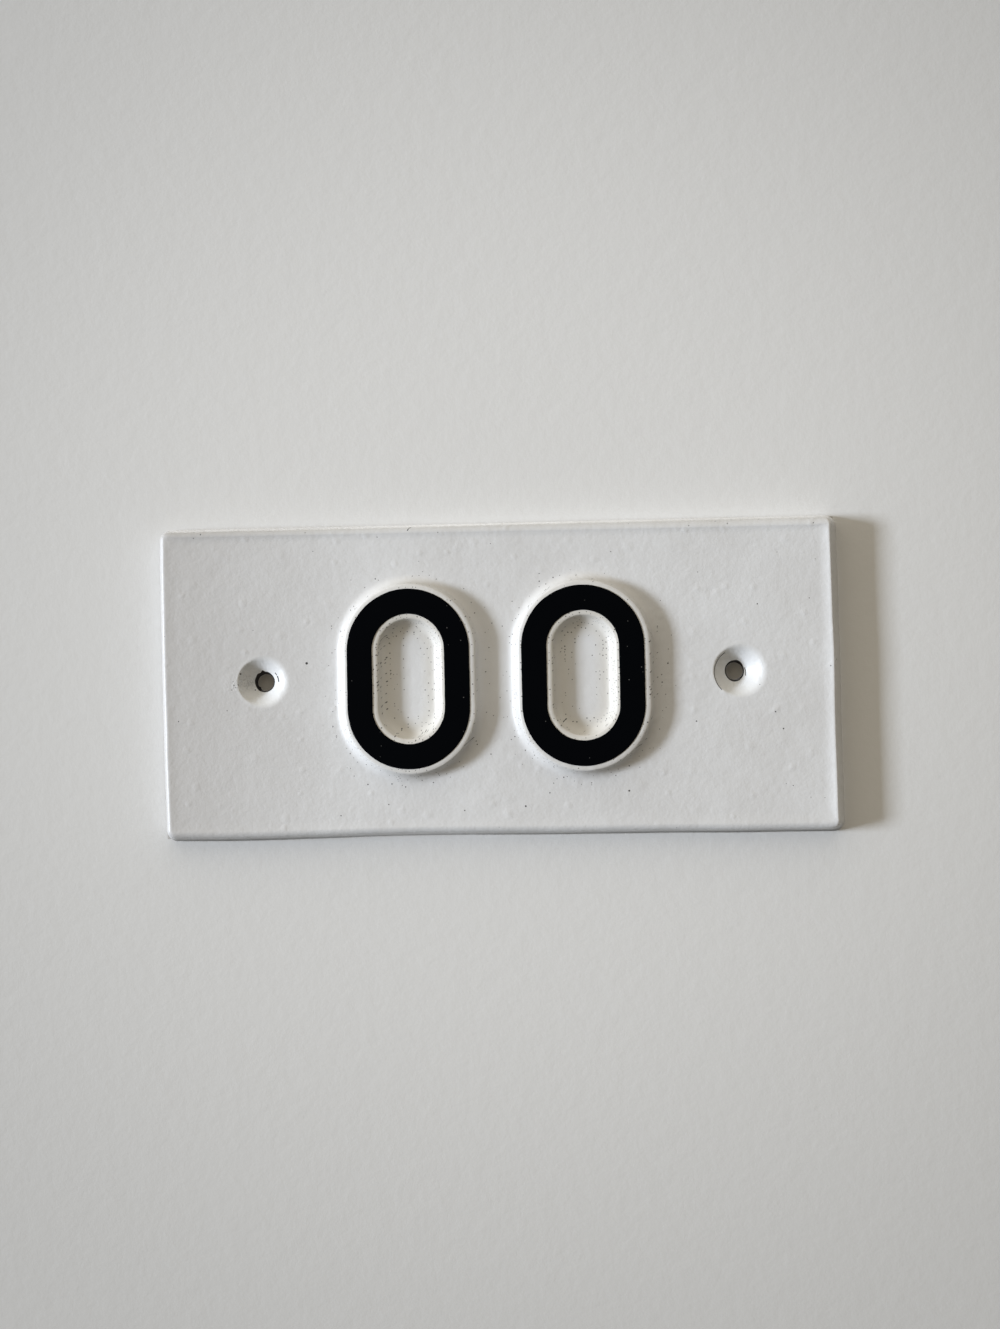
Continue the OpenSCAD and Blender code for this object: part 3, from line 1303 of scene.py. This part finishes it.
    def dirt_and_shade_lines(self, tree: Tree, plan: Node) -> Node:
        """Mask of everything dark in the coat: grit, stains, crack lines, and painted lines of
        shade at the right countersink's left rim.

        Args:
            tree: The material's node tree.
            plan: Plan coordinates in millimetres.

        Returns:
            A value from 0 to 1.
        """
        thick = add_node(tree, "Attribute", attribute_name="grit").outputs["Fac"]
        masks = [mark.build(tree, plan) for mark in self.blots + self.cracks_and_shade_arcs]
        masks += [self.coarse_grit.build(tree, plan), self.fine_grit.build(tree, plan, thick)]
        found = masks[0]
        for mask in masks[1:]:
            found = add_node(tree, "Math", {0: found, 1: mask}, operation="MAXIMUM")
        return on_front(tree, plan, found)

    def height(self, tree: Tree, plan: Node, bare: Feed) -> Node:
        """Fine relief of the surface, in millimetres.

        Args:
            tree: The material's node tree.
            plan: Plan coordinates in millimetres.
            bare: Where the iron is bare.

        Returns:
            The height.
        """
        parts = []
        for pitch, depth in self.peel:
            peel = add_node(tree, "TexNoise", {"Vector": plan, "Scale": 1 / pitch, "Detail": 2.0})
            parts.append((peel, depth))
        parts.append((self.pimples.build(tree, plan), self.pimple_height))
        grains = {"Scale": 1 / self.sand_pitch, "Detail": 3.0}
        sand = add_node(tree, "TexNoise", {"Vector": plan, **grains})
        for mask in (on_front(tree, plan, self.lumps.build(tree, plan)), bare):
            lump = add_node(tree, "Math", {0: sand, 1: mask}, operation="MULTIPLY")
            parts.append((lump, self.lump_height))
        total = 0.0
        for part, scale in parts:
            total = add_node(tree, "Math", {0: part, 1: scale, 2: total}, operation="MULTIPLY_ADD")
        return total

    def build(self) -> bpy.types.Material:
        """Makes the material."""
        material, tree, shader = new_material(self.name)
        plan = plan_of(tree)
        bare = add_node(tree, "Attribute", attribute_name="bare_iron").outputs["Fac"]
        flakes = {"Scale": 1 / self.rust_pitch, "Detail": 4.0, "Roughness": 0.7}
        flake = add_node(tree, "TexNoise", {"Vector": plan, **flakes})
        rusty = add_node(tree, "MapRange", {"Value": flake, "From Min": 0.45, "From Max": 0.7})
        metal = {"A": linear(self.iron), "B": linear(self.rust)}
        iron = add_node(tree, "Mix", {0: rusty, **metal}, data_type="RGBA")
        # Grit, stains, crack lines and painted lines of shade darken the coat
        dirty = {0: self.dirt_and_shade_lines(tree, plan), "A": self.tone(tree, plan), "B": linear(self.grit)}
        coated = add_node(tree, "Mix", dirty, data_type="RGBA")
        dots = {"Scale": 1 / self.stain_pitch, "Detail": 3.0, "Roughness": 0.6}
        dot = add_node(tree, "TexNoise", {"Vector": plan, **dots})
        depths = {"From Min": 0.45, "From Max": 0.62, "To Min": 0.06, "To Max": self.stain_depth}
        spots = add_node(tree, "MapRange", {"Value": dot, **depths})
        stain = on_front(tree, plan, self.stain.build(tree, plan))
        faint = add_node(tree, "Math", {0: spots, 1: stain}, operation="MULTIPLY")
        uncoated = add_node(tree, "Math", {0: bare, 1: faint}, operation="MAXIMUM")
        colour = add_node(tree, "Mix", {0: uncoated, "A": coated, "B": iron}, data_type="RGBA")
        gloss = {"To Min": self.roughness - 0.06, "To Max": self.roughness + 0.08}
        satin = add_node(tree, "MapRange", {"Value": flake, **gloss})
        rough = add_node(tree, "Mix", {0: bare, 2: satin, 3: self.iron_roughness})
        relief = {"Height": self.height(tree, plan, bare), "Strength": 1.0, "Distance": MM}
        bump = add_node(tree, "Bump", relief)
        feed(tree, shader, {"Base Color": colour, "Roughness": rough, "Normal": bump})
        return material


@dataclass(frozen=True)
class Enamel:
    """Black enamel brushed on the rings' faces: deep and nearly matt, with a few pinholes.

    It was laid on by hand in one thick coat, which levelled, so it shows hardly any brush mark.
    """

    name: str = "black_enamel_brushed"
    black: str = "#020305"
    pinhole: str = "#5E5D5A"
    roughness: float = 0.55
    specular: float = 0.02
    pinholes: Specks = Specks(pitch=3.0, radius=0.06, share=0.15)
    ripple_pitch: float = 1.4
    ripple_height: float = 0.012

    def build(self) -> bpy.types.Material:
        """Makes the material."""
        material, tree, shader = new_material(self.name)
        plan = plan_of(tree)
        tones = {"A": linear(self.black), "B": linear(self.pinhole)}
        holes = self.pinholes.build(tree, plan)
        colour = add_node(tree, "Mix", {0: holes, **tones}, data_type="RGBA")
        waves = {"Scale": 1 / self.ripple_pitch, "Detail": 2.0}
        ripple = add_node(tree, "TexNoise", {"Vector": plan, **waves})
        gloss = {"To Min": self.roughness - 0.08, "To Max": self.roughness + 0.08}
        rough = add_node(tree, "MapRange", {"Value": ripple, **gloss})
        rise = {"Height": ripple, "Strength": 1.0, "Distance": self.ripple_height * MM}
        bump = add_node(tree, "Bump", rise)
        feed(tree, shader, {"Base Color": colour, "Roughness": rough, "Normal": bump})
        shader.inputs["Specular IOR Level"].default_value = self.specular
        return material


@dataclass(frozen=True)
class Lamp:
    """A rectangular lamp that faces the plaque: place and size in metres, power in watts."""

    name: str
    place: tuple[float, float, float]
    size: Pair
    power: float
    tint: str

    def build(self) -> None:
        """Adds the lamp."""
        light = bpy.data.lights.new(self.name, "AREA")
        light.shape = "RECTANGLE"
        light.size, light.size_y = self.size
        light.energy = self.power
        light.color = linear(self.tint)[:3]
        lamp = bpy.data.objects.new(self.name, light)
        lamp.location = self.place
        lamp.rotation_euler = (-Vector(self.place)).to_track_quat("-Z", "Y").to_euler()
        bpy.context.scene.collection.objects.link(lamp)


@dataclass(frozen=True)
class Wall:
    """The pale wall that the plaque hangs on, open behind it so that its back can be seen."""

    gap: float = 0.35
    half: float = 1400.0
    opening_inset: float = 1.0
    # Paint inside and outside the painted pool of light
    paint_in_light_pool: str = "#DADAD9"
    paint_outside_light_pool: str = "#BFBFBE"
    # Painted shade: the darker paint seen through the screw holes
    shade_in_holes: str = "#B4B2AE"
    # A painted pool of light: the paint is palest round the plaque. Its radii, and its shift in
    # radii
    light_pool_radii: tuple[float, float, float] = (260.0, 260.0, 275.0)
    light_pool_shift: tuple[float, float, float] = (-0.02, 0.0, -0.08)
    # The roller's texture in the paint
    roller_pitch: float = 4.5
    roller_height: float = 0.1

    def paint(self, name: str, middle: str, edge: str) -> bpy.types.Material:
        """Matt wall paint with a painted pool of light round the plaque, clear from behind so that
        the plaque's back can be seen.

        Args:
            name: The material's name.
            middle: Its colour round the plaque, in the painted pool of light.
            edge: Its colour far out, past the painted pool of light.

        Returns:
            The material.
        """
        material, tree, shader = new_material(name)
        place = add_node(tree, "TexCoord").outputs["Object"]
        scale = tuple(1 / MM / radius for radius in self.light_pool_radii)
        light_pool_plan = {"Vector": place, "Location": self.light_pool_shift, "Scale": scale}
        plan = add_node(tree, "Mapping", light_pool_plan)
        # Painted pool of light: the paint pales towards the plaque
        pool = add_node(tree, "TexGradient", {"Vector": plan}, gradient_type="SPHERICAL")
        reach = {"Value": pool.outputs["Fac"], "From Min": 0.2, "From Max": 0.85}
        soft = add_node(tree, "MapRange", reach, interpolation_type="SMOOTHSTEP")
        tones = {"A": linear(edge), "B": linear(middle)}
        tone = add_node(tree, "Mix", {0: soft, **tones}, data_type="RGBA")
        nap = {"Scale": 1 / self.roller_pitch, "Detail": 5.0, "Roughness": 0.7}
        roller = add_node(tree, "TexNoise", {"Vector": plan_of(tree), **nap})
        rise = {"Height": roller, "Strength": 1.0, "Distance": self.roller_height * MM}
        bump = add_node(tree, "Bump", rise)
        matt = {"Roughness": 1.0, "Specular IOR Level": 0.0}
        feed(tree, shader, {"Base Color": tone, "Normal": bump, **matt})
        facing = add_node(tree, "NewGeometry").outputs["Backfacing"]
        clear = add_node(tree, "BsdfTransparent")
        both = add_node(tree, "MixShader", {0: facing, 1: shader, 2: clear})
        feed(tree, tree.nodes["Material Output"], {"Surface": both})
        return material

    def flat(
        self, name: str, corners: Sequence[Pair], faces: Sequence[tuple[int, ...]]
    ) -> bpy.types.Object:
        """A flat stage piece on the wall's plane, whose front faces the viewer.

        Args:
            name: Its name.
            corners: Its corners on the plan.
            faces: The numbers of each face's corners.

        Returns:
            The new object.
        """
        mesh = bpy.data.meshes.new(name)
        points = [(u * MM, self.gap * MM, v * MM) for u, v in corners]
        mesh.from_pydata(points, [], list(faces))
        mesh.update()
        made = bpy.data.objects.new(name, mesh)
        bpy.context.scene.collection.objects.link(made)
        made.visible_shadow = False
        return made

    def build(self, plate: Plate) -> None:
        """Hangs the wall round the plaque, and the patch that shows through its holes, painted
        darker as their shade.

        Args:
            plate: The plate that covers the opening in the wall.
        """
        paint = self.paint("matt_wall_paint", self.paint_in_light_pool, self.paint_outside_light_pool)
        hole_shade = self.paint("wall_painted_shade_in_the_holes", self.shade_in_holes, self.shade_in_holes)
        u, v = plate.width / 2 - self.opening_inset, plate.height / 2 - self.opening_inset
        far, rim = (
            [(-across, -up), (across, -up), (across, up), (-across, up)]
            for across, up in ((self.half, self.half), (u, v))
        )
        frames = [(k, (k + 1) % 4, 4 + (k + 1) % 4, 4 + k) for k in range(4)]
        wall = self.flat("wall", far + rim, frames)
        patch = self.flat("wall_behind_the_holes", rim, [(0, 1, 2, 3)])
        patch.visible_diffuse = False
        wall.data.materials.append(paint)
        patch.data.materials.append(hole_shade)


@dataclass(frozen=True)
class Studio:
    """The wall, the light and the camera."""

    wall: Wall = Wall()
    # A window on the left that lights the front at a low angle, and a weak lamp on the back
    lamps: tuple[Lamp, ...] = (
        Lamp("window", (-3.84, -1.75, -0.04), (0.71, 1.1), 229.0, "#E9F2FF"),
        Lamp("behind", (-0.5, 1.0, 0.6), (0.8, 0.8), 11.0, "#FFFFFF"),
    )
    # Soft light from the whole room: strongest and coolest from these directions
    ambient: float = 1.18
    bright_towards: tuple[float, float, float] = (-0.35, -0.2, 0.915)
    cool_towards: tuple[float, float, float] = (-0.5, 0.0, 0.87)
    room_warm: str = "#FFEBC8"
    room_cool: str = "#FFF8EA"
    backdrop: str = "#CECDCA"
    # The camera, in millimetres of lens and sensor, metres and degrees
    lens: float = 60.0
    sensor: float = 36.0
    camera_place: tuple[float, float, float] = (0.0247, -0.4866, -0.0200)
    camera_turns: tuple[tuple[float, str], ...] = ((2.865, "Z"), (92.708, "X"), (-1.119, "Z"))

    def room(self) -> None:
        """Lights the plaque softly all round, before a plain pale backdrop."""
        world = bpy.data.worlds.new("room")
        bpy.context.scene.world = world
        world.use_nodes = True
        tree = world.node_tree
        place = add_node(tree, "TexCoord").outputs["Generated"]
        shares = []
        for towards in (self.bright_towards, self.cool_towards):
            side = add_node(tree, "VectorMath", {0: place, 1: towards}, operation="DOT_PRODUCT")
            shares.append(add_node(tree, "MapRange", {"Value": side, "From Min": -1.0}))
        level = add_node(tree, "Math", {0: shares[0], 1: 2.0}, operation="POWER")
        strength = add_node(tree, "Math", {0: level, 1: self.ambient}, operation="MULTIPLY")
        tints = {"A": linear(self.room_warm), "B": linear(self.room_cool)}
        tint = add_node(tree, "Mix", {0: shares[1], **tints}, data_type="RGBA")
        soft = tree.nodes["Background"]
        feed(tree, soft, {"Color": tint, "Strength": strength})
        pale = add_node(tree, "Background", {"Color": linear(self.backdrop), "Strength": 1.0})
        rays = add_node(tree, "LightPath").outputs
        seen = rays["Is Camera Ray"]
        for ray in ("Is Glossy Ray", "Is Transmission Ray"):
            seen = add_node(tree, "Math", {0: seen, 1: rays[ray]}, operation="MAXIMUM")
        mixed = add_node(tree, "MixShader", {0: seen, 1: soft, 2: pale})
        feed(tree, tree.nodes["World Output"], {"Surface": mixed})

    def camera(self) -> None:
        """Stands the camera where the photographer's was."""
        data = bpy.data.cameras.new("camera")
        data.lens, data.sensor_width = self.lens, self.sensor
        data.clip_start = 0.01
        camera = bpy.data.objects.new("camera", data)
        matrix = Matrix.Translation(self.camera_place)
        for angle, axis in self.camera_turns:
            matrix = matrix @ Matrix.Rotation(math.radians(angle), 4, axis)
        camera.matrix_world = matrix
        bpy.context.scene.collection.objects.link(camera)
        bpy.context.scene.camera = camera

    def build(self, plate: Plate) -> None:
        """Builds the whole stage.

        Args:
            plate: The plate that it stands round.
        """
        self.camera()
        for lamp in self.lamps:
            lamp.build()
        self.room()
        self.wall.build(plate)
        bpy.context.scene.view_settings.view_transform = "Standard"


def finish_piece(piece: bpy.types.Object, material: bpy.types.Material) -> None:
    """Dresses a piece and ties it to the frame.

    Args:
        piece: The piece.
        material: Its finish.
    """
    piece.data.materials.append(material)
    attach(piece, BODY)
    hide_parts(NODE)
    LOG.info("%s: %d faces, %s", piece.name, len(piece.data.polygons), material.name)


def main() -> None:
    """Builds the plaque and its stage, in order."""
    logging.basicConfig(level=logging.INFO)
    casting = Casting()
    Studio().build(casting.plate)
    finish_piece(casting.build(), Coat().build())
    enamel = Enamel().build()
    for ring in casting.rings:
        face = BlackFace(ring, casting.plate.field_height)
        finish_piece(face.build(), enamel)


if __name__ == "__main__":
    main()
